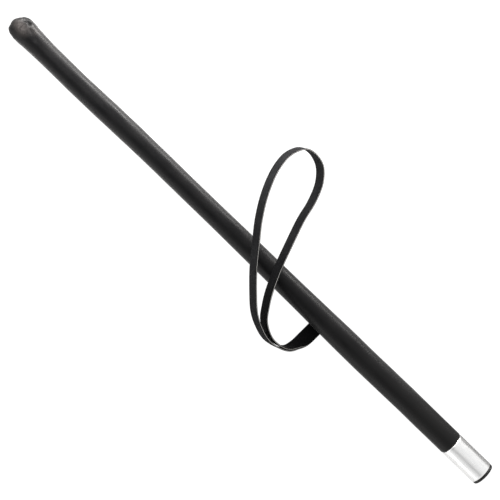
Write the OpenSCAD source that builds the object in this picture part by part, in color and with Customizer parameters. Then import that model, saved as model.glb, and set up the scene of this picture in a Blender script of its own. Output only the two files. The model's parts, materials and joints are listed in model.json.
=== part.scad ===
// Devil stick: a rubber-sleeved wooden stick with a thicker grip, a soft closed tip,
// an aluminium ferrule with an end plug at the butt, and a flat wrist loop that swivels
// on a screw under the stick.
// The stick lies along X with its butt towards +X. The origin is on its axis, at the
// middle of the ferrule. +Z is up, and the strap's screw points down.

/* [Stick] */
// Length from the middle of the ferrule to the end of the tip
tip_reach = 619.5; // [450:0.5:800]
// Diameter of the sleeve over the grip
grip_d = 24.8; // [21:0.1:32]
// Diameter of the sleeve along the shaft
shaft_d = 21.6; // [15:0.1:26]
// Diameter of the sleeve at the bulge of the tip
tip_d = 24.4; // [18:0.1:32]
// Length of the rounded end of the tip
tip_dome = 13.5; // [10:0.5:20]
// Length of the grip, from the ferrule to where the sleeve starts to narrow
grip_len = 147; // [90:1:200]
// How much the radius of the grip grows before it narrows
belly_rise = 0.2; // [0:0.05:1]
// Length of the widest part of the grip
belly_len = 43; // [20:1:60]
// Length over which the grip narrows to the shaft
taper_len = 178; // [60:1:220]
// Length of the swelling between the shaft and the bulge of the tip
swell_len = 32; // [20:1:60]

/* [Sleeve] */
// Wall of the rubber sleeve
sleeve_wall = 1.5; // [0.8:0.1:2.5]
// Rounding of the sleeve's edge beside the ferrule
sleeve_edge = 0.9; // [0.3:0.1:1.2]
// Gap between the sleeve's edge and the ferrule
sleeve_gap = 0.2; // [0.1:0.1:1]

/* [Core and tip pad] */
// How far the core reaches into the ferrule from its inner end
spigot_len = 26; // [12:1:26]
// Length of the core's end that the tip pad covers
pad_grip = 20; // [10:1:23]
// Distance from the end of the core to the end of the tip
pad_depth = 20; // [16:1:30]

/* [Ferrule and plug] */
// Outer diameter of the ferrule
ferrule_d = 25; // [22:0.1:34]
// Length of the ferrule
ferrule_len = 41.5; // [36:0.5:60]
// Wall of the ferrule
ferrule_wall = 1.6; // [1.3:0.1:3]
// Chamfer at both rims of the ferrule
ferrule_chamfer = 1; // [0.3:0.1:1.2]
// Height of the plug's domed cap
cap_height = 3.4; // [2.6:0.1:6]
// Height of the straight rim of the plug's cap
cap_rim = 2; // [0.5:0.1:2.4]
// How much smaller the cap is than the ferrule, in diameter
cap_step = 0.6; // [0.4:0.1:2]
// Length of the plug inside the ferrule
plug_len = 13; // [8:1:14]
// Wall of the hollow plug
plug_wall = 1.6; // [1:0.1:3]
// Number of ribs round the plug
plug_ribs = 3; // [1:1:4]
// Height of the plug's ribs
rib_height = 0.7; // [0.3:0.1:1]
// Diameter of the pin that holds the ferrule
pin_d = 2.5; // [2:0.1:4]
// Length of the pin
pin_len = 13; // [8:0.5:18]
// Distance of the pin from the ferrule's inner end
pin_inset = 9; // [6:0.5:14]

/* [Strap] */
// Width of the strap
strap_w = 15.5; // [12:0.5:16]
// Thickness of the strap
strap_t = 1.4; // [1:0.1:1.4]
// Distance from the middle of the ferrule to the strap's screw
strap_at = 194.8; // [160:0.1:230]

/* [Strap screw] */
// Outer diameter of the bush that the strap turns on
bush_d = 6; // [5:0.1:7]
// How deep the bush sits in the core
bush_depth = 9; // [5:0.5:9.5]
// Diameter of the screw's shank
shank_d = 4; // [3.6:0.1:4.4]
// Space left between the end of the shank and the end of the bush
shank_rest = 2; // [1:0.5:3]
// Diameter of the screw's countersunk head
head_d = 8; // [6.5:0.1:8]
// Diameter of the cup washer where it faces the strap
cup_d = 14; // [12:0.1:16]
// Diameter of the cup washer where it faces the floor
cup_rim_d = 10.6; // [10:0.1:12]
// Height of the cup washer
cup_h = 2.6; // [2.4:0.1:3.5]

/* [Clearances] */
// Radial clearance where one round piece is fitted in another
fit = 0.05; // [0.02:0.01:0.1]
// Gap that lets the strap slide under the sleeve and over the washer
strap_gap = 0.25; // [0.2:0.05:0.5]

/* [Hidden] */
$fn = 96;
cut = 1; // how far a cutting shape runs past what it cuts

// Places along the stick, from the butt to the tip
butt_x = ferrule_len / 2;
sleeve_x = -butt_x - sleeve_gap;
grip_x = -butt_x - grip_len;
shaft_x = grip_x - taper_len;
bulge_x = tip_dome - tip_reach;
swell_x = bulge_x + swell_len;
core_tip_x = pad_depth - tip_reach;
pad_x = core_tip_x + pad_grip;
strap_x = -strap_at;

// The sleeve narrows fastest behind the grip: over half of it is gone at the taper's knee.
belly_r = grip_d / 2 + belly_rise;
knee_along = 0.34; // share of the taper's length
knee_left = 0.43; // share of the narrowing that is still to come at the knee
knee_x = grip_x - knee_along * taper_len;
knee_r = shaft_d / 2 + knee_left * (belly_r - shaft_d / 2);

// The sleeve's outside, as [x, radius] from the grip to the bulge of the tip
sleeve_line = [
    [sleeve_x, grip_d / 2],
    [grip_x + belly_len, belly_r],
    [grip_x, belly_r],
    [knee_x, knee_r],
    [shaft_x, shaft_d / 2],
    [swell_x, shaft_d / 2],
    [bulge_x, tip_d / 2]
];

// Radius of the sleeve's outside at x
function sleeve_r(x) = lookup(-x, [for (p = sleeve_line) [-p[0], p[1]]]);

// The radii that the other pieces are made to
ferrule_bore_r = ferrule_d / 2 - ferrule_wall;
spigot_r = ferrule_bore_r - fit; // both the core's spigot and the plug's ribs
edge_r = min(sleeve_edge, sleeve_wall - 0.2);

// Heights below the axis of what the strap is stacked with
upper_layer_z = -sleeve_r(strap_x + strap_w / 2) - strap_gap - strap_t / 2;
layer_step = strap_t + 0.1;
lower_layer_z = upper_layer_z - layer_step;
washer_z = lower_layer_z - strap_t / 2 - strap_gap;
cup_floor_z = washer_z - cup_h;
head_sink = 0.1; // the head sits just inside the cup's rim
cup_edge = 0.6; // straight edge of the cup washer beside the strap
head_cone = (head_d - shank_d) / 2; // height of the head's 90 degree cone
bush_top_z = bush_depth - (sleeve_r(strap_x) - sleeve_wall - fit);
pin_foot_z = 0.3 - ferrule_d / 2; // the pin is driven just below the ferrule's surface

// The outline of the stick from the pieces' butt end, pulled in by `inset`: the points
// along the sleeve's line that lie past x_from, then the rounded tip as a quarter ellipse
function stick_outline(inset, x_from) = concat(
    [[x_from, sleeve_r(x_from) - inset]],
    [for (p = sleeve_line) if (p[0] < x_from) [p[0], p[1] - inset]],
    [for (a = [6 : 6 : 90]) [
        bulge_x - (tip_dome - inset) * sin(a),
        (tip_d / 2 - inset) * cos(a)]]
);

// Turns a profile of [x, radius] points about the X axis
module turned(profile) {
    rotate([0, 90, 0])
        rotate_extrude($fn = 96)
            polygon([for (p = profile) [max(p[1], 0), p[0]]]);
}

// A round rod along X from x1 to x2
module rod_x(x1, x2, r) {
    translate([x1, 0, 0])
        rotate([0, 90, 0])
            cylinder(h = x2 - x1, r = r);
}

// A round rod along Z under the strap's place, from z1 up to z2
module rod_z(z1, z2, r) {
    translate([strap_x, 0, z1])
        cylinder(h = z2 - z1, r = r);
}

// The turned wooden rod inside the sleeve
module core_rod() {
    shaft_core = [for (p = sleeve_line) if (p[0] > pad_x)
        [p[0], p[1] - sleeve_wall - fit]];
    spigot_x = spigot_len - butt_x;
    shoulder_x = sleeve_x + sleeve_gap / 2;
    shoulder_r = shaft_core[0][1];
    end_r = shaft_d / 2 - sleeve_wall - fit;
    color("burlywood")
        difference() {
            turned(concat(
                [[spigot_x, 0], [spigot_x, spigot_r - 1], [spigot_x - 1, spigot_r],
                    [shoulder_x, spigot_r], [shoulder_x, shoulder_r]],
                shaft_core,
                [[core_tip_x + 1, end_r], [core_tip_x, end_r - 1], [core_tip_x, 0]]));
            rod_z(-grip_d, bush_top_z, bush_d / 2 + fit);
            pin_hole();
        }
}

// The rubber sleeve, closed over the tip
module sleeve() {
    outside = stick_outline(0, sleeve_x);
    inside = stick_outline(sleeve_wall, sleeve_x);
    edge = [for (a = [0 : 15 : 90]) [
        sleeve_x - edge_r + edge_r * cos(a),
        grip_d / 2 - edge_r + edge_r * sin(a)]];
    count = len(outside);
    color("#1c1c1e")
        difference() {
            turned(concat(
                edge,
                [for (i = [1 : count - 1]) outside[i]],
                [for (i = [1 : count]) inside[count - i]]));
            rod_z(-grip_d, 0, bush_d / 2 + fit);
        }
}

// The soft pad over the end of the core, which fills the closed tip
module tip_pad() {
    inset = sleeve_wall + fit;
    color("#2b2b2b")
        difference() {
            turned(concat(
                [[pad_x, 0]],
                stick_outline(inset, pad_x)));
            rod_x(core_tip_x, pad_x + cut, shaft_d / 2 - sleeve_wall);
        }
}

// The bright tube on the butt
module end_ferrule() {
    r = ferrule_d / 2;
    c = ferrule_chamfer;
    color("#dfe1e4")
        difference() {
            turned([
                [-butt_x, ferrule_bore_r], [-butt_x, r - c], [c - butt_x, r],
                [butt_x - c, r], [butt_x, r - c], [butt_x, ferrule_bore_r]]);
            pin_hole();
        }
}

// The moulded plug: a domed cap, and a hollow ribbed spigot in the ferrule
module end_plug() {
    cap_r = (ferrule_d - cap_step) / 2;
    dome = [for (a = [0 : 10 : 90]) [
        butt_x + cap_rim + (cap_height - cap_rim) * sin(a),
        cap_r * cos(a)]];
    rib_pitch = plug_len / (plug_ribs + 1);
    root_r = spigot_r - rib_height;
    color("#151515") {
        difference() {
            turned(concat([[butt_x, 0], [butt_x, cap_r]], dome));
            rod_x(butt_x - plug_len - cut, butt_x + cap_rim / 2, root_r - plug_wall);
        }
        difference() {
            union() {
                rod_x(butt_x - plug_len, butt_x, root_r);
                for (i = [1 : plug_ribs])
                    rod_x(
                        butt_x - i * rib_pitch - rib_height,
                        butt_x - i * rib_pitch + rib_height,
                        spigot_r);
            }
            rod_x(butt_x - plug_len - cut, butt_x + cut, root_r - plug_wall);
        }
    }
}

// Where the pin goes through the underside of the ferrule into the core
module pin_hole() {
    translate([pin_inset - butt_x, 0, pin_foot_z - cut])
        cylinder(h = pin_len + 2 * cut, r = pin_d / 2 + fit);
}

// The plain pin that keeps the ferrule on the core
module ferrule_pin() {
    color("#c9cbce")
        translate([pin_inset - butt_x, 0, pin_foot_z])
            cylinder(h = pin_len, r = pin_d / 2);
}

// The threaded bush in the core, whose end the strap turns on
module strap_bush() {
    color("#c8a24a")
        difference() {
            rod_z(washer_z, bush_top_z, bush_d / 2);
            rod_z(washer_z - cut, bush_top_z + cut, shank_d / 2 + fit);
        }
}

// A countersunk head and shank under the strap's place, grown by `gap` all round
module screw_shape(gap) {
    floor_z = cup_floor_z + head_sink;
    translate([strap_x, 0, floor_z]) {
        cylinder(h = head_cone, r1 = head_d / 2 + gap, r2 = shank_d / 2 + gap);
        cylinder(h = bush_top_z - shank_rest - floor_z, r = shank_d / 2 + gap);
    }
}

// The cup washer that keeps the strap on the bush and takes the screw's head
module cup_washer() {
    color("#b9bcc0")
        difference() {
            union() {
                translate([strap_x, 0, cup_floor_z])
                    cylinder(h = cup_h - cup_edge, r1 = cup_rim_d / 2, r2 = cup_d / 2);
                rod_z(washer_z - cup_edge, washer_z, cup_d / 2);
            }
            screw_shape(fit);
            rod_z(cup_floor_z - cut, cup_floor_z + head_sink, head_d / 2 + fit);
        }
}

// The countersunk screw, with a hexagon socket
module strap_screw() {
    socket_depth = 0.75 * head_cone;
    color("#a9acb0")
        difference() {
            screw_shape(0);
            translate([strap_x, 0, cup_floor_z + head_sink - cut])
                cylinder(h = cut + socket_depth, d = 0.7 * shank_d, $fn = 6);
        }
}

// The strap's middle line, as [along the stick, across it, height, lean]. The first and
// last points are the two punched ends, one on the other under the screw. Lean says how
// far the strap's width has turned from along the stick (0) to the loop's normal (1).
strap_route = [
    [0, 9, lower_layer_z, 0],
    [0, -8, lower_layer_z, 0],
    [0, -18, lower_layer_z, 0.05],
    [-0.5, -28, -13.7, 0.3],
    [-2.5, -37.5, -9.5, 0.7],
    [-7, -45, -2.5, 0.95],
    [-16.5, -49.5, 7, 1],
    [-29.5, -51, 15, 1],
    [-43.5, -47.5, 21, 1],
    [-56.5, -40.5, 26, 1],
    [-70.5, -27.5, 30, 1],
    [-86.5, -10.5, 33, 1],
    [-101.5, 8.5, 36, 1],
    [-114.5, 25.5, 38, 1],
    [-126.5, 45.5, 39, 1],
    [-135.5, 67.5, 37, 1],
    [-138.5, 86.5, 32, 1],
    [-135.5, 99.5, 28, 1],
    [-129.5, 106.5, 25, 1],
    [-119, 108, 22, 1],
    [-107.5, 104, 17, 1],
    [-97, 92, 14, 1],
    [-90, 74.5, 15, 1],
    [-85.5, 54.5, 18, 1],
    [-77.5, 29.5, 22, 1],
    [-69.5, 6.5, 23, 1],
    [-60.5, -14.5, 23, 1],
    [-52.5, -28.5, 22, 1],
    [-43, -40, 19.5, 1],
    [-29.5, -46, 14.5, 1],
    [-16.5, -46, 7, 1],
    [-8, -42.5, -1, 0.95],
    [-3, -35.5, -8, 0.7],
    [-0.5, -26.5, -12.1, 0.3],
    [0, -17, upper_layer_z, 0.05],
    [0, -8, upper_layer_z, 0],
    [0, 9, upper_layer_z, 0]
];
loop_normal = [0.385, 0.2, 0.9]; // the width's direction all round the loop
steps = 4; // sections drawn from one route point to the next

function unit(v) = v / norm(v);

// A smooth curve through a, b, c and d, at u of the way from b to c
function smooth_at(a, b, c, d, u) = 0.5 * (2 * b + (c - a) * u
    + (2 * a - 5 * b + 4 * c - d) * u * u
    + (3 * b - a - 3 * c + d) * u * u * u);

last = len(strap_route) - 1;
function route(i) = strap_route[min(max(i, 0), last)];
middle_line = concat(
    [for (i = [0 : last - 1])
        for (k = [0 : steps - 1])
            smooth_at(route(i - 1), route(i), route(i + 1), route(i + 2), k / steps)],
    [route(last)]);
sections = len(middle_line);

function place(i) = [for (k = [0 : 2]) middle_line[min(max(i, 0), sections - 1)][k]];
function along(i) = unit(place(i + 1) - place(i - 1));
function across(i) =
    let (lean = middle_line[i][3], wide = (1 - lean) * [1, 0, 0] + lean * loop_normal)
    unit(wide - (wide * along(i)) * along(i));
function thick(i) = cross(along(i), across(i));

// The four corners of the strap's section i
function section(i) = [for (c = [[-1, -1], [1, -1], [1, 1], [-1, 1]])
    place(i) + c[0] * strap_w / 2 * across(i) + c[1] * strap_t / 2 * thick(i)];

// Two triangles for each side of each step, and two for each end
strap_faces = concat(
    [[0, 1, 2], [0, 2, 3]],
    [for (i = [0 : sections - 2])
        for (k = [0 : 3])
            for (half = [0 : 1])
                let (a = 4 * i + k, b = 4 * i + (k + 1) % 4)
                half == 0 ? [a, a + 4, b + 4] : [a, b + 4, b]],
    let (e = 4 * (sections - 1))
    [[e, e + 2, e + 1], [e, e + 3, e + 2]]);

// The flat strap: one strip whose ends are punched for the bush
module wrist_strap() {
    color("#202022")
        translate([strap_x, 0, 0])
            difference() {
                polyhedron([for (i = [0 : sections - 1]) each section(i)], strap_faces);
                translate([0, 0, washer_z])
                    cylinder(h = -washer_z, r = bush_d / 2 + fit);
            }
}

core_rod();
sleeve();
tip_pad();
end_ferrule();
end_plug();
ferrule_pin();
strap_bush();
wrist_strap();
cup_washer();
strap_screw();
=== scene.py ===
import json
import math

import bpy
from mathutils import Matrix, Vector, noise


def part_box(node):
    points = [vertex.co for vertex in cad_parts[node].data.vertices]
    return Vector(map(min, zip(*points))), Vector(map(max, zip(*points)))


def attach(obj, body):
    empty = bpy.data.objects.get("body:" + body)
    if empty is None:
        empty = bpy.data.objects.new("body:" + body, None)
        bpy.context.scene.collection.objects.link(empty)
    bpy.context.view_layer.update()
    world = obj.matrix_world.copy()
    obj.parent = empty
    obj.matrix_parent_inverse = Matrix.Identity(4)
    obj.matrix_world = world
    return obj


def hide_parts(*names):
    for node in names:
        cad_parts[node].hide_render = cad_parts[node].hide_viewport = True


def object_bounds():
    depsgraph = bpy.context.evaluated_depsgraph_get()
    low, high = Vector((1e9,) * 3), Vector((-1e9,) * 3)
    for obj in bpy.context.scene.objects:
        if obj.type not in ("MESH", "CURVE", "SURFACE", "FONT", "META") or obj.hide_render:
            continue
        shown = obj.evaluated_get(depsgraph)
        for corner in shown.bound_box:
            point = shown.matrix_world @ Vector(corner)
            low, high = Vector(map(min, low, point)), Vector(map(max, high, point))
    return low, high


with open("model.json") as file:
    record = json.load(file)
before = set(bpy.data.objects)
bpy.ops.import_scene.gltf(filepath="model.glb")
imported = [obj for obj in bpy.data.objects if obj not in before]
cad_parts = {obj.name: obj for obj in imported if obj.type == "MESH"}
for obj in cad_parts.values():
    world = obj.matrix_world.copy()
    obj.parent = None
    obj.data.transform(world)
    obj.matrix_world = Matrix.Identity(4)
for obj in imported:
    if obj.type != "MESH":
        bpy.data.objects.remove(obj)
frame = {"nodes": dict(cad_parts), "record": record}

# %% [markdown]
# A devil stick is a juggling stick: a wooden core in a tight rubber sleeve, with a bare
# metal ferrule on the butt and a flat wrist strap. The solid model gives every piece its
# size and place. This script measures those solids, builds the finer surfaces over them
# and gives each one its finish. Outer sizes are read from the solids, so that the two
# models can't drift apart. Only what can't be read there is typed, such as a wall.

nodes = frame["nodes"]
solid_low, solid_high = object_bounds()
swivel = frame["record"]["behaviour"]["joints"][0]
strap_x = swivel["pos_m"][0]
sleeve_low, sleeve_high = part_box("sleeve")
ferrule_low, ferrule_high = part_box("end_ferrule")
plug_low, plug_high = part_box("end_plug")
washer_low, washer_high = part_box("cup_washer")
bush_low, bush_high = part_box("strap_bush")
pin_low, pin_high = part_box("ferrule_pin")
print("stick from", round(sleeve_low.x, 4), "to", round(plug_high.x, 4), "m, strap at", strap_x)

# %% [markdown]
# A mesh is only data until an object shows it in the scene. One helper places any data
# in the scene, and a second one makes a smooth piece of the product and says on which
# body it rides, so that the strap can turn while the stick stays.

# %% Placing things


def place_in_scene(name, data):
    thing = bpy.data.objects.new(name, data)
    bpy.context.scene.collection.objects.link(thing)
    return thing


def make_piece(name, points, faces, body):
    mesh = bpy.data.meshes.new(name)
    mesh.from_pydata(points, [], faces)
    mesh.update()
    mesh.shade_smooth()
    piece = place_in_scene(name, mesh)
    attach(piece, body)
    return piece


print("placing helpers ready")

# %% [markdown]
# The sleeve, the ferrule and the plug are round about the stick's axis. A screw modifier
# could turn their outlines, but the sleeve's points have to be pressed in afterwards, so
# one turning tool makes the points itself: it takes a profile of places along the axis
# and radii, and carries it round the axis in small steps.

# %% Turning tool
on_axis = 1e-7


def turn(profile, closed, around):
    """Points and faces of a profile of (x, radius) carried round the X axis."""
    points, faces, rings = [], [], []
    for x, r in profile:
        if r < on_axis:
            rings.append([len(points)])
            points.append((x, 0.0, 0.0))
            continue
        first = len(points)
        rings.append(list(range(first, first + around)))
        for k in range(around):
            turned = 2 * math.pi * k / around
            points.append((x, r * math.cos(turned), r * math.sin(turned)))
    pairs = list(zip(rings, rings[1:]))
    if closed:
        pairs.append((rings[-1], rings[0]))
    for a, b in pairs:
        for k in range(around):
            n = (k + 1) % around
            if len(a) == 1:
                faces.append((a[0], b[k], b[n]))
            elif len(b) == 1:
                faces.append((a[k], b[0], a[n]))
            else:
                faces.append((a[k], b[k], b[n], a[n]))
    return points, faces


def arc(centre_x, centre_r, radius, start, end, steps):
    """Points of a round edge, from one angle to another, in degrees."""
    found = []
    for k in range(steps + 1):
        a = math.radians(start + (end - start) * k / steps)
        found.append((centre_x + radius * math.cos(a), centre_r + radius * math.sin(a)))
    return found


print("turning tool ready")

# %% [markdown]
# Three pieces have a round hole across them: the sleeve for the bush, the ferrule for its
# pin and the strap for the bush again. A real drill takes material away, and a Boolean
# modifier does the same with a round cutter. It is applied at once, so the piece keeps a
# plain mesh, and edges sharper than 40 degrees then stay crisp.

# %% Drill
drill_sides = 48
drill_play = 0.00005


def drill(piece, centre_x, radius, low, high):
    """Cuts a round vertical hole through a piece."""
    ring = [(radius * math.cos(2 * math.pi * k / drill_sides),
             radius * math.sin(2 * math.pi * k / drill_sides)) for k in range(drill_sides)]
    points = [(centre_x + x, y, z) for z in (low, high) for x, y in ring]
    faces = []
    for k in range(drill_sides):
        n = (k + 1) % drill_sides
        faces.append((k, n, drill_sides + n, drill_sides + k))
    faces.append(tuple(range(drill_sides))[::-1])
    faces.append(tuple(range(drill_sides, 2 * drill_sides)))
    mesh = bpy.data.meshes.new("drill")
    mesh.from_pydata(points, [], faces)
    cutter = place_in_scene("drill", mesh)
    cut = piece.modifiers.new("hole", "BOOLEAN")
    cut.operation = "DIFFERENCE"
    cut.solver = "EXACT"
    cut.object = cutter
    bpy.context.view_layer.update()
    seen = piece.evaluated_get(bpy.context.evaluated_depsgraph_get())
    drilled = bpy.data.meshes.new_from_object(seen)
    piece.modifiers.clear()
    piece.data = drilled
    bpy.data.objects.remove(cutter)
    drilled.set_sharp_from_angle(angle=math.radians(40))


bush_hole_r = (bush_high.x - bush_low.x) / 2 + drill_play
pin_hole_r = (pin_high.x - pin_low.x) / 2 + drill_play
print("holes", round(2000 * bush_hole_r, 1), "and", round(2000 * pin_hole_r, 1), "mm across")

# %% [markdown]
# The sleeve is a rubber tube, shrunk or rolled over the core, that is thicker over the
# grip and closed over the tip. Its outline could be typed as a list of radii, but it is
# measured from the solid, ring by ring, so it always fits. Only the faces that look
# outward count, because the solid has a bore as well.

# %% Sleeve outline
rings = {}
for face in nodes["sleeve"].data.polygons:
    if face.normal.dot(Vector((0, face.center.y, face.center.z))) <= 0:
        continue
    for index in face.vertices:
        spot = nodes["sleeve"].data.vertices[index].co
        if spot.z >= 0:
            place = round(spot.x, 5)
            rings[place] = max(rings.get(place, 0), math.hypot(spot.y, spot.z))
outline = sorted(rings.items())


def solid_radius(x):
    for (x0, r0), (x1, r1) in zip(outline, outline[1:]):
        if x0 <= x <= x1:
            return r0 + (r1 - r0) * (x - x0) / (x1 - x0)
    return outline[-1][1] if x > outline[-1][0] else 0.0


tip_region = 0.03
grip_from_edge = 0.02
bulge_x, bulge_r = max((ring for ring in outline if ring[0] < sleeve_low.x + tip_region),
                       key=lambda ring: ring[1])
dome = bulge_x - sleeve_low.x
grip_r = solid_radius(sleeve_high.x - grip_from_edge)
print("grip", round(2000 * grip_r, 1), "mm, bulge", round(2000 * bulge_r, 1), "mm,",
      "dome", round(1000 * dome, 1), "mm deep")

# %% [markdown]
# A pulled-on rubber sleeve is never as true as a turned rod. It swells here and there by
# a few tenths of a millimetre and wanders a little off the straight. Noise would give
# waves of one length everywhere, so two short tables of (x, offset) rows say where the
# slow waves lie, and a smooth step joins one row to the next.

# %% Slow waves of the sleeve
swelling = [(-0.606, 0.00045), (-0.601, 0.0006), (-0.596, 0.00028), (-0.587, 0.0002),
            (-0.548, 0.00018), (-0.528, 0.0002), (-0.509, 0.00034), (-0.490, 0.00045),
            (-0.469, 0.00036), (-0.430, 0.0001), (-0.370, 0.0), (-0.310, 0.00005), (-0.25, 0.0)]
wander = [(-0.612, 0.0001), (-0.606, 0.00015), (-0.599, -0.00005), (-0.587, -0.0003),
          (-0.568, -0.0006), (-0.530, -0.0008), (-0.508, -0.0005), (-0.480, 0.0),
          (-0.450, 0.0004), (-0.420, 0.00046), (-0.376, 0.0003), (-0.330, 0.00037),
          (-0.228, 0.0), (-0.170, -0.00022), (-0.140, -0.00036), (-0.110, -0.0001),
          (-0.082, 0.00015), (-0.060, 0.0)]


def between(table, x):
    """Reads a table of (x, value) rows, smoothly from one row to the next."""
    for (x0, v0), (x1, v1) in zip(table, table[1:]):
        if x0 <= x <= x1:
            u = (x - x0) / (x1 - x0)
            return v0 + (v1 - v0) * u * u * (3 - 2 * u)
    return table[0][1] if x < table[0][0] else table[-1][1]


print("swells by up to", max(v for x, v in swelling), "m and wanders by up to",
      max(abs(v) for x, v in wander), "m")

# %% [markdown]
# Rubber bridges a change of slope instead of showing it, so the radius at a place is an
# average of the solid's radii on both sides of it, weighted towards the middle. Each
# radius is kept once it is worked out, because every point of a ring asks for it.

# %% Sleeve radius
wall = 0.0015
straight_end = sleeve_high.x - 0.003
soften = 0.014
each_side = 6
proud_of_solid = 0.0001
uneven_depth = 0.00004
uneven_per_metre = 60
known = {}


def sleeve_radius(x):
    place = round(x, 6)
    if place in known:
        return known[place]
    reach = min(soften, straight_end - x, x - bulge_x)
    if reach <= 0:
        smooth = solid_radius(min(max(x, bulge_x), straight_end))
    else:
        weighed = sum(solid_radius(x + reach * k / each_side) * (each_side + 1 - abs(k))
                      for k in range(-each_side, each_side + 1))
        smooth = weighed / (each_side + 1) ** 2
    uneven = uneven_depth * noise.noise(Vector((x * uneven_per_metre, 3.1, 0)))
    known[place] = smooth + proud_of_solid + between(swelling, x) + uneven
    return known[place]


print("sleeve", round(2000 * sleeve_radius(strap_x), 1), "mm across at the strap")

# %% [markdown]
# The tube is closed at the tip by folding its end over and pressing it down on one
# shoulder. That leaves a small pinch with two dimples and a ridge beside them, a flat
# patch, a soft crease that runs back from the pinch, and an end that is blunter on one
# side than on the other. Sculpting by hand would give the same, but a short list of
# presses can be read and changed: each has a depth, a line from start to end, and a size.

# %% Closed tip


def from_tip(x, y, z):
    return (sleeve_low.x + x, y, z)


dimple_front = from_tip(0.0118, 0.0070, 0.0102)
dimple_back = from_tip(0.0168, 0.0084, 0.0091)
ridge_start = from_tip(0.0109, 0.0088, 0.0086)
ridge_end = from_tip(0.0163, 0.0109, 0.0059)
flat_middle = from_tip(0.0118, 0.0008, 0.0122)
crease_start = from_tip(0.0180, 0.0057, 0.0110)
crease_middle = from_tip(0.0233, 0.0044, 0.0114)
crease_end = from_tip(0.0310, 0.0010, 0.0119)
presses = [
    (0.0010, dimple_front, dimple_front, 0.0016),
    (0.0015, dimple_back, dimple_back, 0.0021),
    (-0.0006, ridge_start, ridge_end, 0.0012),
    (0.0006, flat_middle, flat_middle, 0.0062),
    (0.0004, crease_start, crease_middle, 0.0020),
    (0.0003, crease_middle, crease_end, 0.0022),
]
blunt = [(-0.0122, 0.0), (-0.0112, 0.0014), (-0.0092, 0.0019), (-0.0045, 0.0003),
         (0.0005, 0.0004), (0.0055, -0.0008), (0.0080, -0.0009), (0.0102, -0.0001),
         (0.0125, 0.0)]
pressed_length = dome * 2.6
puckers, pucker_turn, pucker_depth, pucker_middle = 5, 0.6, 0.00016, 0.006
pucker_fade = 0.003
lump_depth, lumps_per_metre = 0.00012, 260
blunt_fade = 0.004
end_lean = 0.35


def near_line(point, start, end, size):
    """One on the line from start to end, falling softly to nothing away from it."""
    line = Vector(end) - Vector(start)
    share = 0.0
    if line.length_squared > 0:
        share = (Vector(point) - Vector(start)).dot(line) / line.length_squared
        share = min(max(share, 0.0), 1.0)
    away = (Vector(point) - Vector(start) - share * line).length / size
    return math.exp(-away * away)


def press_tip(point):
    """Moves a point of the closed tip to where the fold leaves it."""
    x, y, z = point
    if x >= sleeve_low.x + pressed_length:
        return point
    inward = Vector((end_lean * max(0.0, bulge_x - x) / dome, -y, -z))
    inward = inward.normalized() if inward.length > 1e-6 else Vector((1, 0, 0))
    push = sum(depth * near_line(point, start, end, size) for depth, start, end, size in presses)
    around = math.atan2(z, y)
    fade = min(1.0, max(0.0, bulge_x + pucker_fade - x) / (2 * pucker_fade))
    middle = min(1.0, math.hypot(y, z) / pucker_middle)
    push += pucker_depth * fade * math.sin(puckers * around + pucker_turn) * middle
    push += lump_depth * fade * noise.noise(Vector(point) * lumps_per_metre)
    share = min(1.0, max(0.0, bulge_x - x) / blunt_fade)
    return tuple(Vector(point) + push * inward - Vector((share * between(blunt, y), 0, 0)))


print(len(presses), "presses over", round(1000 * pressed_length, 1), "mm of the tip")

# %% [markdown]
# The sleeve's profile runs from the tip over the dome, along the outside to a rounded
# edge at the ferrule, and back through the bore, so the tube has its real wall and both
# of its skins. The outside follows the slow waves, and the bore stays true to the core.

# %% Sleeve
edge_r = 0.0012
sleeve_around = 176
fine_step, coarse_step = 0.0008, 0.0025


def closed_end(inset, steps):
    """The rounded end of the tube as a profile from its tip, pulled in by inset."""
    found = []
    for k in range(steps):
        a = math.radians(90 * k / steps)
        found.append((bulge_x - (dome - inset) * math.cos(a) ** 0.97,
                      (sleeve_radius(bulge_x) - inset) * math.sin(a) ** 0.98))
    return found


def wander_off(point):
    """Moves a point of the outside off the straight, and leaves a point of the bore."""
    x, y, z = point
    if math.hypot(y, z) > sleeve_radius(x) - wall * 0.6:
        y += between(wander, x)
    return x, y, z


tube = []
x = bulge_x
while x < straight_end:
    tube.append((x, sleeve_radius(x)))
    x += fine_step if x < bulge_x + tip_region else coarse_step
end_r = sleeve_radius(straight_end)
edge = arc(sleeve_high.x - edge_r, end_r - edge_r, edge_r, 90, 0, 10)
inner = [(x, r - wall) for x, r in tube[::-1]] + closed_end(wall, 24)[::-1]
profile = closed_end(0, 64) + tube + edge + [(sleeve_high.x, end_r - wall)] + inner
points, faces = turn(profile, False, sleeve_around)
points = [wander_off(press_tip(point)) for point in points]
sleeve = make_piece("rubber_sleeve", points, faces, "stick")
drill(sleeve, strap_x, bush_hole_r, washer_low.z, 0)
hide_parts("sleeve")
print("sleeve", len(sleeve.data.polygons), "faces")

# %% [markdown]
# The ferrule is cut from drawn aluminium tube. Both rims are chamfered on the lathe, and
# each chamfer has a fine broken edge that catches the light. A bevel modifier would round
# all four rims alike, so the outer rims are written into the profile: one rim as a list of
# depths and radii, used as it is at one end and mirrored at the other.

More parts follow.
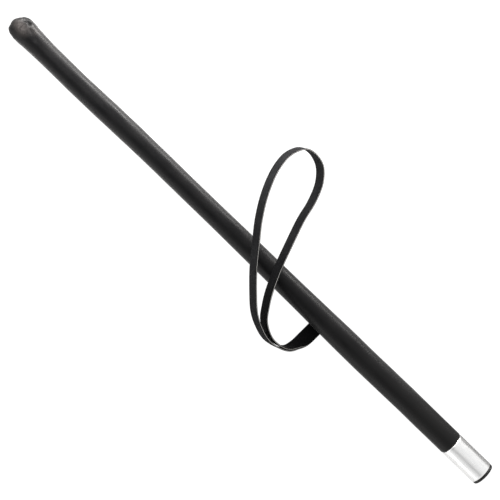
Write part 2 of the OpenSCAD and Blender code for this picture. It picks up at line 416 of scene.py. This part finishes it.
# %% Ferrule
tube_r = ferrule_high.z
bore_r = tube_r - 0.0016
chamfer = 0.001
broken = 0.00018
slope = 0.7071 * broken
tube_steps = 24
rim_in, rim_out = ferrule_low.x, ferrule_high.x
rim = [(0, tube_r - chamfer - broken), (slope * 0.4, tube_r - chamfer + slope * 0.4),
       (chamfer - slope, tube_r - slope * 0.6), (chamfer + broken, tube_r)]
straight = rim_out - rim_in - 2 * chamfer
profile = [(rim_in, bore_r)] + [(rim_in + deep, r) for deep, r in rim]
profile += [(rim_in + chamfer + straight * k / tube_steps, tube_r) for k in range(1, tube_steps)]
profile += [(rim_out - deep, r) for deep, r in rim[::-1]] + [(rim_out, bore_r)]
points, faces = turn(profile, True, sleeve_around)
ferrule = make_piece("aluminium_ferrule", points, faces, "stick")
drill(ferrule, (pin_low.x + pin_high.x) / 2, pin_hole_r, ferrule_low.z - 0.001, 0)
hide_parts("end_ferrule")
print("ferrule", round(1000 * (rim_out - rim_in), 1), "mm long")

# %% [markdown]
# The plug is moulded in black plastic and pushed into the tube until its cap stops on
# the rim. The cap has a straight edge, a round shoulder and a shallow dome. Inside the
# tube the plug is a ribbed cup, so that it grips: the ribs all but touch the bore, and
# the root between them stays clear. All of it is round, so one profile makes the piece.

# %% Plug
cap_r = plug_high.z
cap_top = plug_high.x
cap_rim = rim_out + 0.002
shoulder = 0.0007
rib_r = bore_r - 0.00005
root_r = rib_r - 0.0007
cup_r = root_r - 0.0016
cup_floor = rim_out + 0.001
inside = plug_low.x
rib = [(0.0009, root_r), (0.0006, rib_r - 0.0001), (0.0004, rib_r),
       (-0.0004, rib_r), (-0.0006, rib_r - 0.0001), (-0.0009, root_r)]
profile = [(cap_top, 0.0)]
for k in range(1, 15):
    a = math.radians(90 * k / 16)
    profile.append((cap_rim + (cap_top - cap_rim) * math.cos(a) ** 0.9, cap_r * math.sin(a)))
profile += arc(cap_rim - shoulder * 0.6, cap_r - shoulder, shoulder, 50, 90, 6)
profile += [(rim_out + 0.0002, cap_r), (rim_out, cap_r - 0.0002), (rim_out, root_r)]
pitch = (rim_out - inside) / 4
for k in (1, 2, 3):
    profile += [(rim_out - k * pitch + along, r) for along, r in rib]
profile += [(inside, root_r), (inside, cup_r), (cup_floor, cup_r), (cup_floor, 0.0)]
points, faces = turn(profile, False, 144)
plug = make_piece("end_cap", points, faces, "stick")
plug.data.set_sharp_from_angle(angle=math.radians(50))
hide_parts("end_plug")
print("cap", round(2000 * cap_r, 1), "mm across")

# %% [markdown]
# The strap is one long strip of black-faced leather. Both ends lie one on the other under
# the stick, where the screw and its washer hold them, and the loop rises beside the stick
# and folds back over it. A cloth simulation would lose its crisp edges, so the strip is
# laid along a given route. The route repeats the solid's, point by point, except
# in the lower bend, which is about two millimetres fuller, as soft leather bends.
# Each row is in metres from the screw: how far along the stick, how far across it, the
# height, and how far the strip's width has turned from lying along the stick (0) to
# standing on the loop's own normal (1).

# %% Strap route
strap_w = 0.0155
strap_t = 0.0014
lower_z = washer_high.z + 0.00025 + strap_t / 2
upper_z = lower_z + strap_t + 0.0001
route = [
    (0, 0.009, lower_z, 0), (0, -0.008, lower_z, 0), (0, -0.018, lower_z, 0.05),
    (-0.0005, -0.028, -0.0137, 0.3), (-0.0025, -0.0375, -0.0095, 0.7),
    (-0.0066, -0.0456, -0.0025, 0.95), (-0.0158, -0.0504, 0.007, 1),
    (-0.0290, -0.0520, 0.015, 1), (-0.0433, -0.0479, 0.021, 1),
    (-0.0565, -0.0405, 0.026, 1), (-0.0705, -0.0275, 0.030, 1),
    (-0.0865, -0.0105, 0.033, 1), (-0.1015, 0.0085, 0.036, 1),
    (-0.1145, 0.0255, 0.038, 1), (-0.1265, 0.0455, 0.039, 1),
    (-0.1355, 0.0675, 0.037, 1), (-0.1385, 0.0865, 0.032, 1),
    (-0.1355, 0.0995, 0.028, 1), (-0.1295, 0.1065, 0.025, 1),
    (-0.119, 0.108, 0.022, 1), (-0.1075, 0.104, 0.017, 1),
    (-0.097, 0.092, 0.014, 1), (-0.090, 0.0745, 0.015, 1),
    (-0.0855, 0.0545, 0.018, 1), (-0.0775, 0.0295, 0.022, 1),
    (-0.0695, 0.0065, 0.023, 1), (-0.0605, -0.0145, 0.023, 1),
    (-0.0525, -0.0285, 0.022, 1), (-0.0432, -0.0405, 0.0195, 1),
    (-0.0294, -0.0480, 0.0145, 1), (-0.0161, -0.0481, 0.007, 1),
    (-0.0075, -0.0440, -0.001, 0.95), (-0.003, -0.0358, -0.008, 0.7),
    (-0.0005, -0.0265, -0.0121, 0.3), (0, -0.017, upper_z, 0.05),
    (0, -0.008, upper_z, 0), (0, 0.009, upper_z, 0),
]
per_span = 12
last = len(route) - 1


def smooth_at(a, b, c, d, u):
    """A place on the smooth curve from b to c, whose slopes come from a and d."""
    return tuple(0.5 * (2 * q + (r - p) * u + (2 * p - 5 * q + 4 * r - s) * u * u
                        + (3 * q - p - 3 * r + s) * u * u * u)
                 for p, q, r, s in zip(a, b, c, d))


line = []
for i in range(last):
    a, b = route[max(i - 1, 0)], route[i]
    c, d = route[i + 1], route[min(i + 2, last)]
    line += [smooth_at(a, b, c, d, k / per_span) for k in range(per_span)]
line.append(route[last])
middle = [Vector((strap_x + p[0], p[1], p[2])) for p in line]
length = [0.0]
for a, b in zip(middle, middle[1:]):
    length.append(length[-1] + (b - a).length)
print("strap", round(length[-1], 3), "m long")

# %% [markdown]
# The strip's section is a flat bar with softly rounded corners. The faces are dyed and
# rolled. On the long edges, the raw cut, the dye has not reached the middle, so a narrow
# band there gets faces of its own for a paler finish. A bevel on a plain box would give
# the corners too, but not that band.

# %% Strap section
half_w, half_t, round_r = strap_w / 2, strap_t / 2, 0.00028
core_half = 0.00022
corner = [(math.cos(math.radians(a)), math.sin(math.radians(a))) for a in (0, 30, 60, 90)]
section = []
for sign_w, sign_t, order in ((1, 1, 1), (-1, 1, -1), (-1, -1, 1), (1, -1, -1)):
    for cw, ct in corner[::order]:
        section.append((sign_w * (half_w - round_r + round_r * cw),
                        sign_t * (half_t - round_r + round_r * ct)))
    if sign_w * sign_t > 0:
        for k in range(1, 8):
            section.append((sign_w * (half_w - round_r) * (1 - k / 4), sign_t * half_t))
    else:
        section += [(sign_w * half_w, sign_t * core_half), (sign_w * half_w, -sign_t * core_half)]
count = len(section)
print("section of", count, "points,", round(1000 * strap_w, 1), "by", round(1000 * strap_t, 1), "mm")

# %% [markdown]
# The section is carried along the route. At each step its width is square to the route and
# leans as the route says, with a slight twist at the top of the loop. A curve with a bevel
# would choose that lean by itself. The knife has left the edges very slightly uneven, so
# noise moves them in by less than a tenth of a millimetre. Every point also stores how far
# along the strip it lies, and the finish reads that to know where the painted shade at the
# ends lies.

# %% Strap
loop_normal = Vector((0.385, 0.2, 0.9))
twisted = [(15.0, 0.0), (17.0, 0.06), (18.5, 0.06), (20.0, 0.0)]
knife_depth, knife_per_metre = 0.00009, 260
points = []
for i, here in enumerate(middle):
    along = (middle[min(i + 1, len(middle) - 1)] - middle[max(i - 1, 0)]).normalized()
    lean = line[i][3]
    wide = (1 - lean) * Vector((1, 0, 0)) + lean * loop_normal
    wide = (wide - wide.dot(along) * along).normalized()
    twist = between(twisted, i / per_span)
    wide = math.cos(twist) * wide + math.sin(twist) * along.cross(wide)
    thick = along.cross(wide)
    for w, t in section:
        side = 1 if w > 0 else -1
        if abs(w) > half_w * 0.9:
            spot = Vector((length[i] * knife_per_metre, side * 7.3, 1.7))
            w -= side * abs(knife_depth * noise.noise(spot))
        points.append(tuple(here + w * wide + t * thick))
faces, cut_faces = [], []
for i in range(len(middle) - 1):
    for k in range(count):
        n = (k + 1) % count
        faces.append((i * count + k, i * count + n, (i + 1) * count + n, (i + 1) * count + k))
        cut_faces.append(max(abs(section[k][1]), abs(section[n][1])) < core_half * 1.01)
faces.append(tuple(range(count))[::-1])
faces.append(tuple(range((len(middle) - 1) * count, len(middle) * count)))
cut_faces += [True, True]
strap = make_piece("strap_strip", points, faces, "strap")
uv = strap.data.uv_layers.new(name="strip")
for polygon, face in zip(strap.data.polygons, faces):
    for loop_index, point_index in zip(polygon.loop_indices, face):
        i, k = divmod(point_index, count)
        uv.data[loop_index].uv = (length[i], section[k][0])
print("strap", len(faces), "faces,", sum(cut_faces), "on the cut edges")

# %% [markdown]
# Every finish is built from the same small kit of procedural nodes: noise at the scale of
# the real grain drives the colour, the roughness and a shallow bump. Painted pictures would
# need one picture for every piece and blur close up, while noise stays sharp at any
# distance and needs no unwrapping.

# %% Material kit
as_it_is = (1, 1, 1)


class Finish:
    """A Principled finish with short calls for the nodes that vary it."""

    def __init__(self, name):
        self.material = bpy.data.materials.new(name)
        self.material.use_nodes = True
        self.tree = self.material.node_tree
        self.shader = self.tree.nodes["Principled BSDF"]
        self.where = self.tree.nodes.new("ShaderNodeTexCoord")

    def set(self, **values):
        for key, value in values.items():
            self.shader.inputs[key.replace("_", " ")].default_value = value

    def link(self, output, target):
        self.tree.links.new(output, target)

    def to(self, key, output):
        self.link(output, self.shader.inputs[key])

    def mapped(self, scale):
        node = self.tree.nodes.new("ShaderNodeMapping")
        node.inputs["Scale"].default_value = scale
        self.link(self.where.outputs["Object"], node.inputs["Vector"])
        return node.outputs["Vector"]

    def along(self, vector, axis):
        """One coordinate of a place."""
        node = self.tree.nodes.new("ShaderNodeSeparateXYZ")
        self.link(vector, node.inputs["Vector"])
        return node.outputs[axis]

    def noise(self, vector, scale, detail, rough=0.55):
        node = self.tree.nodes.new("ShaderNodeTexNoise")
        node.inputs["Scale"].default_value = scale
        node.inputs["Detail"].default_value = detail
        node.inputs["Roughness"].default_value = rough
        self.link(vector, node.inputs["Vector"])
        return node.outputs["Fac"]

    def cells(self, vector, scale):
        node = self.tree.nodes.new("ShaderNodeTexVoronoi")
        node.inputs["Scale"].default_value = scale
        self.link(vector, node.inputs["Vector"])
        return node.outputs["Distance"]

    def near(self, vector, centre, reach):
        """One at a place, falling softly to nothing at a distance from it."""
        node = self.tree.nodes.new("ShaderNodeVectorMath")
        node.operation = "DISTANCE"
        node.inputs[1].default_value = centre
        self.link(vector, node.inputs[0])
        soft = self.tree.nodes.new("ShaderNodeMapRange")
        soft.interpolation_type = "SMOOTHSTEP"
        soft.inputs["From Max"].default_value = reach
        soft.inputs["To Min"].default_value = 1
        soft.inputs["To Max"].default_value = 0
        self.link(node.outputs["Value"], soft.inputs["Value"])
        return soft.outputs["Result"]

    def spread(self, value, low, high, start=0.3, end=0.7):
        """Carries a value from between start and end to between low and high."""
        node = self.tree.nodes.new("ShaderNodeMapRange")
        node.inputs["From Min"].default_value = start
        node.inputs["From Max"].default_value = end
        node.inputs["To Min"].default_value = low
        node.inputs["To Max"].default_value = high
        self.link(value, node.inputs["Value"])
        return node.outputs["Result"]

    def sum(self, a, b, share=1.0):
        """The first value and a share of the second."""
        node = self.tree.nodes.new("ShaderNodeMath")
        node.operation = "MULTIPLY_ADD"
        self.link(b, node.inputs[0])
        node.inputs[1].default_value = share
        self.link(a, node.inputs[2])
        return node.outputs["Value"]

    def times(self, a, b):
        node = self.tree.nodes.new("ShaderNodeMath")
        node.operation = "MULTIPLY"
        self.link(a, node.inputs[0])
        self.link(b, node.inputs[1])
        return node.outputs["Value"]

    def colours(self, value, *stops):
        """A colour read from stops of (place, colour)."""
        node = self.tree.nodes.new("ShaderNodeValToRGB")
        ramp = node.color_ramp
        while len(ramp.elements) < len(stops):
            ramp.elements.new(0.5)
        for element, (place, colour) in zip(ramp.elements, stops):
            element.position = place
            element.color = (*colour, 1)
        self.link(value, node.inputs["Fac"])
        return node.outputs["Color"]

    def blend(self, share, first, second):
        """A colour that goes from the first to the second as the share goes from 0 to 1."""
        node = self.tree.nodes.new("ShaderNodeMix")
        node.data_type = "RGBA"
        self.link(share, node.inputs["Factor"])
        first_socket, second_socket, result = 6, 7, 2
        for key, colour in ((first_socket, first), (second_socket, second)):
            if isinstance(colour, tuple):
                node.inputs[key].default_value = (*colour, 1)
            else:
                self.link(colour, node.inputs[key])
        return node.outputs[result]

    def bump(self, height, depth, strength, after=None):
        """A shallow relief, laid over another one where after gives it."""
        node = self.tree.nodes.new("ShaderNodeBump")
        node.inputs["Strength"].default_value = strength
        node.inputs["Distance"].default_value = depth
        self.link(height, node.inputs["Height"])
        if after is not None:
            self.link(after, node.inputs["Normal"])
        return node.outputs["Normal"]


print("material kit ready")

# %% [markdown]
# Sleeve rubber is black with a satin skin. The skin has a fine grain, faint lines drawn
# along the tube, and dry patches where hands and other sticks have rubbed it. The flat
# patch on the tip is painted paler and warmer, as a painted highlight on the dome. The
# folds of the pinch are rougher, and their colour is darkened as painted shade. The grip
# end is a touch paler too, where the palm has dried it. The highlight, the shade and the
# paler grip are tied to places on the stick and not to noise.

# %% Sleeve rubber
rubber = Finish("sleeve_rubber")
place = rubber.where.outputs["Object"]
grain = rubber.noise(rubber.mapped(as_it_is), 2600, 3)
drawn = rubber.noise(rubber.mapped((9, 300, 300)), 1.0, 4)
rubbed = rubber.noise(rubber.mapped((40, 90, 90)), 1.0, 5, 0.6)
# Painted highlight: a paler, warmer patch on the flat of the dome, mottled by noise.
painted_dome_highlight = rubber.sum(rubber.near(place, from_tip(0.0090, 0.0012, 0.0115), 0.0100),
                   rubber.near(place, from_tip(0.0165, 0.0002, 0.0122), 0.0105), 0.9)
painted_dome_highlight = rubber.sum(painted_dome_highlight, rubber.near(place, from_tip(0.0250, 0.0080, 0.0092), 0.0085), 0.5)
painted_dome_highlight = rubber.times(painted_dome_highlight, rubber.spread(rubber.noise(place, 420, 4), 0.35, 0.85))
# Painted shade in the dimples and the crease of the pinch: it darkens their colour, and it also
# makes them rougher.
fold_shade_and_dullness = rubber.sum(rubber.near(place, dimple_back, 0.0034), rubber.near(place, dimple_front, 0.0022))
fold_shade_and_dullness = rubber.sum(fold_shade_and_dullness, rubber.near(place, crease_middle, 0.0050), 0.4)
palm = rubber.spread(rubber.along(place, "X"), 0, 1, -0.20, -0.06)
black = rubber.colours(rubbed, (0.30, (0.0012, 0.0012, 0.0015)), (0.72, (0.0030, 0.0029, 0.0031)))
black = rubber.blend(palm, black, (0.0056, 0.0054, 0.0054))
# The paler warm colour of the painted highlight on the dome.
black = rubber.blend(painted_dome_highlight, black, (0.046, 0.041, 0.039))
dull = rubber.sum(rubber.spread(rubbed, 0.31, 0.47), grain, 0.06)
skin = rubber.bump(grain, 0.00003, 0.5)
rubber.set(Specular_IOR_Level=0.155, Sheen_Weight=0.04, Sheen_Roughness=0.4)
# The darker colour here is painted shade in the folds.
rubber.to("Base Color", rubber.blend(fold_shade_and_dullness, black, (0.003, 0.003, 0.003)))
rubber.to("Roughness", rubber.sum(dull, fold_shade_and_dullness, 0.35))
rubber.to("Normal", rubber.bump(drawn, 0.00009, 0.5, skin))
sleeve.data.materials.append(rubber.material)
print("sleeve rubber done")

# %% [markdown]
# The ferrule is turned aluminium: bright, with rings too fine to count that stretch the
# highlights round it, and a few rubs along its length. The shader's own anisotropy could
# stretch the highlights, but noise squeezed along the axis makes the rings themselves, and
# they look right from every side.

# %% Ferrule aluminium
metal = Finish("ferrule_aluminium")
turned_rings = metal.noise(metal.mapped((9000, 30, 30)), 1.0, 2)
rubs = metal.noise(metal.mapped((60, 500, 500)), 1.0, 4)
metal.set(Metallic=1.0)
metal.to("Base Color", metal.colours(rubs, (0.32, (0.84, 0.84, 0.84)), (0.70, (0.91, 0.91, 0.90))))
metal.to("Roughness", metal.sum(metal.spread(rubs, 0.20, 0.30), turned_rings, 0.08))
metal.to("Normal", metal.bump(turned_rings, 0.00001, 0.5))
ferrule.data.materials.append(metal.material)
print("ferrule aluminium done")

# %% [markdown]
# The cap is moulded in a matt black plastic. The mould was spark-eroded, which leaves a
# fine even texture, so high noise gives the bump, and slower noise makes the parts that
# have been rubbed a little shinier.

# %% Cap plastic
plastic = Finish("plug_plastic")
eroded = plastic.noise(plastic.mapped(as_it_is), 3800, 2)
worn = plastic.noise(plastic.mapped(as_it_is), 160, 4)
plastic.set(Specular_IOR_Level=0.26)
plastic.to("Base Color", plastic.colours(worn, (0.3, (0.005, 0.005, 0.005)),
                                         (0.7, (0.010, 0.010, 0.009))))
plastic.to("Roughness", plastic.spread(worn, 0.42, 0.56))
plastic.to("Normal", plastic.bump(eroded, 0.00004, 0.6))
plug.data.materials.append(plastic.material)
print("cap plastic done")

# %% [markdown]
# The strap's faces are dyed black and pressed with a fine pebbled grain. High spots of
# the grain are rubbed a little greyer than the hollows between them. Along the loop the
# grain shows that grey, while both ends, in the lower bends and under the stick, are kept
# deep black as painted shade. Cell noise makes the pebbles, because plain noise has no
# edges between its spots, and the distance along the strip says where the painted shade
# lifts and comes back.

# %% Strap face
leather = Finish("strap_black")
pebbles = leather.cells(leather.mapped(as_it_is), 1500)
pores = leather.noise(leather.mapped(as_it_is), 2200, 3)
flesh = leather.noise(leather.mapped(as_it_is), 90, 4)
tone = leather.sum(leather.spread(pebbles, 0.62, 0.30, 0.1, 0.7), flesh, 0.3)
run = leather.along(leather.where.outputs["UV"], "X")
# Both ends of the strip, in the lower bends and under the stick, are kept deep black as painted
# shade. These places along the strip say where that shade lifts and where it comes back.
end_shade_lifts, end_shade_gone = length[5 * per_span], length[7 * per_span]
end_shade_returns, end_shade_full = length[24 * per_span + 6], length[26 * per_span]
clear_of_end_shade = leather.times(leather.spread(run, 0, 1, end_shade_lifts, end_shade_gone),
                     leather.spread(run, 1, 0, end_shade_returns, end_shade_full))
greyed = leather.colours(tone, (0.40, (0.003, 0.003, 0.0034)), (0.60, (0.0085, 0.0087, 0.0094)),
                         (0.80, (0.019, 0.0195, 0.0205)))
pressed = leather.bump(leather.spread(pebbles, 1, 0, 0.0, 0.6), 0.00012, 0.6)
leather.set(Specular_IOR_Level=0.01, Sheen_Weight=0.004, Sheen_Roughness=0.5)
# The deep black at both ends is painted shade, and the loop shows the grain's grey.
leather.to("Base Color", leather.blend(clear_of_end_shade, (0.0035, 0.0035, 0.0037), greyed))
leather.to("Roughness", leather.spread(pores, 0.52, 0.70))
leather.to("Normal", leather.bump(pores, 0.00005, 0.5, pressed))
strap.data.materials.append(leather.material)
# The printed stretch is where the strip is clear of the painted shade at its ends.
print("strap face done, worn from", round(end_shade_lifts, 2), "to", round(end_shade_full, 2), "m")

# %% [markdown]
# The cut edge shows the leather's undyed fibres as a thin pale line. It is rough and a
# little stained, with no grain. It is a second material on the same piece, because the
# strap is one strip, and only the faces of the narrow band and of the two ends use it. The
# hole for the bush is drilled last, because drilling numbers the faces anew.

# %% Strap cut edge
raw = Finish("strap_cut_edge")
fibres = raw.noise(raw.mapped(as_it_is), 1900, 5, 0.65)
stain = raw.noise(raw.mapped(as_it_is), 120, 3)
raw.set(Specular_IOR_Level=0.2, Sheen_Weight=0.15)
raw.to("Base Color", raw.colours(raw.sum(fibres, stain, 0.4), (0.45, (0.15, 0.145, 0.14)),
                                 (0.62, (0.22, 0.215, 0.205)), (0.85, (0.32, 0.31, 0.30))))
raw.to("Roughness", raw.spread(fibres, 0.7, 0.92))
raw.to("Normal", raw.bump(fibres, 0.00010, 0.8))
strap.data.materials.append(raw.material)
for polygon, is_cut in zip(strap.data.polygons, cut_faces):
    polygon.material_index = 1 if is_cut else 0
drill(strap, strap_x, bush_hole_r, bush_low.z - 0.001, upper_z + 0.002)
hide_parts("wrist_strap")
print("strap cut edge done")

# %% [markdown]
# The core and the tip pad keep their solid shape, because the sleeve hides them. The core
# is turned from straight-grained wood, so its noise is stretched along the stick. The pad
# is foam rubber, and cell noise gives it its bubbles.

# %% Core wood and pad foam
wood = Finish("core_wood")
bands = wood.noise(wood.mapped((6, 260, 260)), 1.0, 6, 0.6)
wood.to("Base Color", wood.colours(bands, (0.34, (0.42, 0.26, 0.13)), (0.52, (0.62, 0.44, 0.26)),
                                   (0.72, (0.72, 0.55, 0.36))))
wood.to("Roughness", wood.spread(bands, 0.5, 0.7))
wood.to("Normal", wood.bump(bands, 0.0001, 0.5))

foam = Finish("pad_rubber")
bubbles = foam.cells(foam.mapped(as_it_is), 1400)
foam.to("Base Color", foam.colours(bubbles, (0.1, (0.02, 0.02, 0.02)), (0.6, (0.06, 0.06, 0.06))))
foam.to("Roughness", foam.spread(bubbles, 0.75, 0.95))
foam.to("Normal", foam.bump(bubbles, 0.0002, 0.7))
print("wood and foam done")

# %% [markdown]
# The fastenings keep their solid shape too: the solid model already has their chamfers,
# the screw's recess and the washer's cup. The bush is brass, turned about the screw's
# vertical axis, so its fine rings are squeezed along Z. The screw, the washer and the pin
# are zinc-plated steel, slightly cloudy. One loop hands each piece its finish.

# %% Fastenings
brass = Finish("bush_brass")
tooling = brass.noise(brass.mapped((40, 40, 7000)), 1.0, 2)
brass.set(Metallic=1.0)
brass.to("Base Color", brass.colours(tooling, (0.3, (0.62, 0.46, 0.2)), (0.7, (0.8, 0.64, 0.34))))
brass.to("Roughness", brass.spread(tooling, 0.25, 0.4))
brass.to("Normal", brass.bump(tooling, 0.00001, 0.5))

steel = Finish("fastener_steel")
plating = steel.noise(steel.mapped(as_it_is), 900, 5)
clouds = steel.noise(steel.mapped(as_it_is), 220, 3)
steel.set(Metallic=1.0)
steel.to("Base Color", steel.colours(clouds, (0.3, (0.52, 0.53, 0.55)), (0.7, (0.72, 0.73, 0.74))))
steel.to("Roughness", steel.spread(plating, 0.28, 0.45))
steel.to("Normal", steel.bump(plating, 0.00002, 0.5))

finishes = {"core_rod": wood, "tip_pad": foam, "strap_bush": brass,
            "cup_washer": steel, "strap_screw": steel, "ferrule_pin": steel}
for node_name, finish in finishes.items():
    for material_slot in nodes[node_name].material_slots:
        material_slot.material = finish.material
    print(node_name, "finished in", finish.material.name)

# %% [markdown]
# The stick lies on a plain white sheet. Stronger lamps would make the sheet white, but the
# stick would be too bright under them. So the sheet's own colour is a plain pale one, and
# it glows a little towards the camera only, which leaves the light on the stick alone and
# the stick's soft shadow on the sheet.

# %% Sheet
sheet_gap = 0.0002
sheet_reach = 4.0
floor_z = solid_low.z - sheet_gap
centre_x = (solid_low.x + solid_high.x) / 2
corners = [(centre_x + sx * sheet_reach, sy * sheet_reach, floor_z) for sx, sy in
           ((-1, -1), (1, -1), (1, 1), (-1, 1))]
mesh = bpy.data.meshes.new("sheet")
mesh.from_pydata(corners, [], [(0, 1, 2, 3)])
sheet = place_in_scene("sheet", mesh)
paper = bpy.data.materials.new("white_sheet")
paper.use_nodes = True
tree = paper.node_tree
tree.nodes.clear()
matt = tree.nodes.new("ShaderNodeBsdfDiffuse")
matt.inputs["Color"].default_value = (0.82, 0.82, 0.82, 1)
glow = tree.nodes.new("ShaderNodeEmission")
glow.inputs["Color"].default_value = (1, 1, 1, 1)
glow.inputs["Strength"].default_value = 1.12
path = tree.nodes.new("ShaderNodeLightPath")
share = tree.nodes.new("ShaderNodeMath")
share.operation = "MULTIPLY"
share.inputs[1].default_value = 0.86
mix = tree.nodes.new("ShaderNodeMixShader")
out = tree.nodes.new("ShaderNodeOutputMaterial")
tree.links.new(path.outputs["Is Camera Ray"], share.inputs[0])
tree.links.new(share.outputs["Value"], mix.inputs["Fac"])
tree.links.new(matt.outputs["BSDF"], mix.inputs[1])
tree.links.new(glow.outputs["Emission"], mix.inputs[2])
tree.links.new(mix.outputs["Shader"], out.inputs["Surface"])
sheet.data.materials.append(paper)
print("sheet at", round(floor_z, 4), "m")

# %% [markdown]
# The room is bright near the walls and darker overhead, as a studio is when its lamps
# stand round the table. A glossy round stick mirrors that dark patch along its top, and so
# looks black and round, where an even room would make it grey and flat. The angle from the
# darkest direction picks the brightness, and the camera itself sees plain white.

# %% Room
darkest = (0, -0.41, 0.91)
levels = ((0.50, 1.0), (0.80, 0.95), (0.887, 0.88), (0.925, 0.80), (0.953, 0.62), (0.990, 0.24),
          (1.0, 0.15))
world = bpy.data.worlds.new("room")
bpy.context.scene.world = world
world.use_nodes = True
tree = world.node_tree
tree.nodes.clear()
where = tree.nodes.new("ShaderNodeTexCoord")
towards = tree.nodes.new("ShaderNodeVectorMath")
towards.operation = "DOT_PRODUCT"
towards.inputs[1].default_value = darkest
ramp = tree.nodes.new("ShaderNodeValToRGB")
while len(ramp.color_ramp.elements) < len(levels):
    ramp.color_ramp.elements.new(0.5)
for element, (place, level) in zip(ramp.color_ramp.elements, levels):
    element.position = place
    element.color = (level, level, level, 1)
room = tree.nodes.new("ShaderNodeBackground")
plain = tree.nodes.new("ShaderNodeBackground")
plain.inputs["Color"].default_value = (1, 1, 1, 1)
plain.inputs["Strength"].default_value = 1.05
path = tree.nodes.new("ShaderNodeLightPath")
mix = tree.nodes.new("ShaderNodeMixShader")
out = tree.nodes.new("ShaderNodeOutputWorld")
tree.links.new(where.outputs["Generated"], towards.inputs[0])
tree.links.new(towards.outputs["Value"], ramp.inputs["Fac"])
tree.links.new(ramp.outputs["Color"], room.inputs["Color"])
tree.links.new(path.outputs["Is Camera Ray"], mix.inputs["Fac"])
tree.links.new(room.outputs["Background"], mix.inputs[1])
tree.links.new(plain.outputs["Background"], mix.inputs[2])
tree.links.new(mix.outputs["Shader"], out.inputs["Surface"])
print("room has", len(levels), "levels of brightness")

# %% [markdown]
# Long low lamps suit a long object: each draws one clean highlight from end to end. The
# main strip stands beside the tip half, a short one carries on towards the butt, and a
# weak one lights the other side. A soft lamp past the tip lights the dome. The last lamp
# makes a pool of light on the sheet beside the tip, which the sheet throws back on to the
# stick's side, and the lamp itself is kept out of the gloss.

# %% Lamps
warm_white = (1.0, 0.975, 0.96)


def add_lamp(name, place, aim, width, height, watts):
    data = bpy.data.lights.new(name, "AREA")
    data.color = warm_white
    data.shape = "RECTANGLE"
    data.size = width
    data.size_y = height
    data.energy = watts
    lamp = place_in_scene(name, data)
    lamp.location = place
    lamp.rotation_euler = (Vector(aim) - Vector(place)).to_track_quat("-Z", "Y").to_euler()
    return lamp


add_lamp("strip", (-0.95, 0.70, 0.055), (-0.50, 0, 0), 0.9, 0.15, 19.5)
add_lamp("short_strip", (-0.32, 0.75, 0.055), (-0.28, 0, 0), 0.45, 0.15, 4.4)
add_lamp("back_strip", (-0.42, -0.80, 0.14), (-0.30, 0, 0), 1.35, 0.30, 1.95)
add_lamp("tip_light", (-1.08, 0.08, 0.85), (-0.60, 0, 0), 0.45, 0.45, 2.7)
pool = add_lamp("pool", (-0.60, 0.15, 0.20), (-0.60, 0.14, -0.1), 0.5, 0.2, 2.7)
pool.visible_glossy = False
print(len(bpy.data.lights), "lamps")

# %% [markdown]
# Bright metal on a white sheet loses its edges. Two grey cards lie flat on the sheet, beside
# the butt and past the tip, as painted shade of the sheet for the metal and the rubber to
# mirror. They are seen only in reflections: the camera doesn't see them, and they cast no
# shadow and give no light.

# %% Grey cards of painted shade


def add_shade_card(name, low_x, low_y, high_x, high_y):
    mesh = bpy.data.meshes.new(name)
    corners = [(low_x, low_y), (high_x, low_y), (high_x, high_y), (low_x, high_y)]
    mesh.from_pydata([(x, y, floor_z + 0.0001) for x, y in corners], [], [(0, 1, 2, 3)])
    card = place_in_scene(name, mesh)
    card.visible_camera = False
    card.visible_diffuse = False
    card.visible_shadow = False
    grey = bpy.data.materials.new(name)
    grey.use_nodes = True
    shader = grey.node_tree.nodes["Principled BSDF"]
    # The grey is painted shade of the sheet, which the metal and the rubber mirror.
    shader.inputs["Base Color"].default_value = (0.26, 0.26, 0.26, 1)
    shader.inputs["Roughness"].default_value = 1
    mesh.materials.append(grey)
    print(name, round(high_x - low_x, 2), "by", round(high_y - low_y, 2), "m")


# Painted shade of the sheet beside the butt and past the tip, seen only in reflections.
add_shade_card("butt_shade_card", ferrule_low.x - 0.045, 0.0135, plug_high.x + 0.06, 0.30)
add_shade_card("tip_shade_card", sleeve_low.x - 0.33, -0.12, sleeve_low.x + 0.0075, 0.30)

# %% [markdown]
# The camera looks straight down from a little over a metre, with a long lens, so that the
# stick keeps its true proportions from end to end. It is turned so that the stick runs
# from the upper left to the lower right.

# %% Camera
view_x, view_y = strap_x - 0.10064, -0.00058
view_height = 1.06
view_turn = 44.02
camera_data = bpy.data.cameras.new("camera")
camera_data.lens = 77.56
camera_data.sensor_width = 36
camera_data.clip_start = 0.05
camera = place_in_scene("camera", camera_data)
camera.location = (view_x, view_y, view_height)
camera.rotation_euler = (0, 0, math.radians(view_turn))
bpy.context.scene.camera = camera
bpy.context.scene.view_settings.view_transform = "Standard"
print("camera", view_height, "m above the stick's axis")
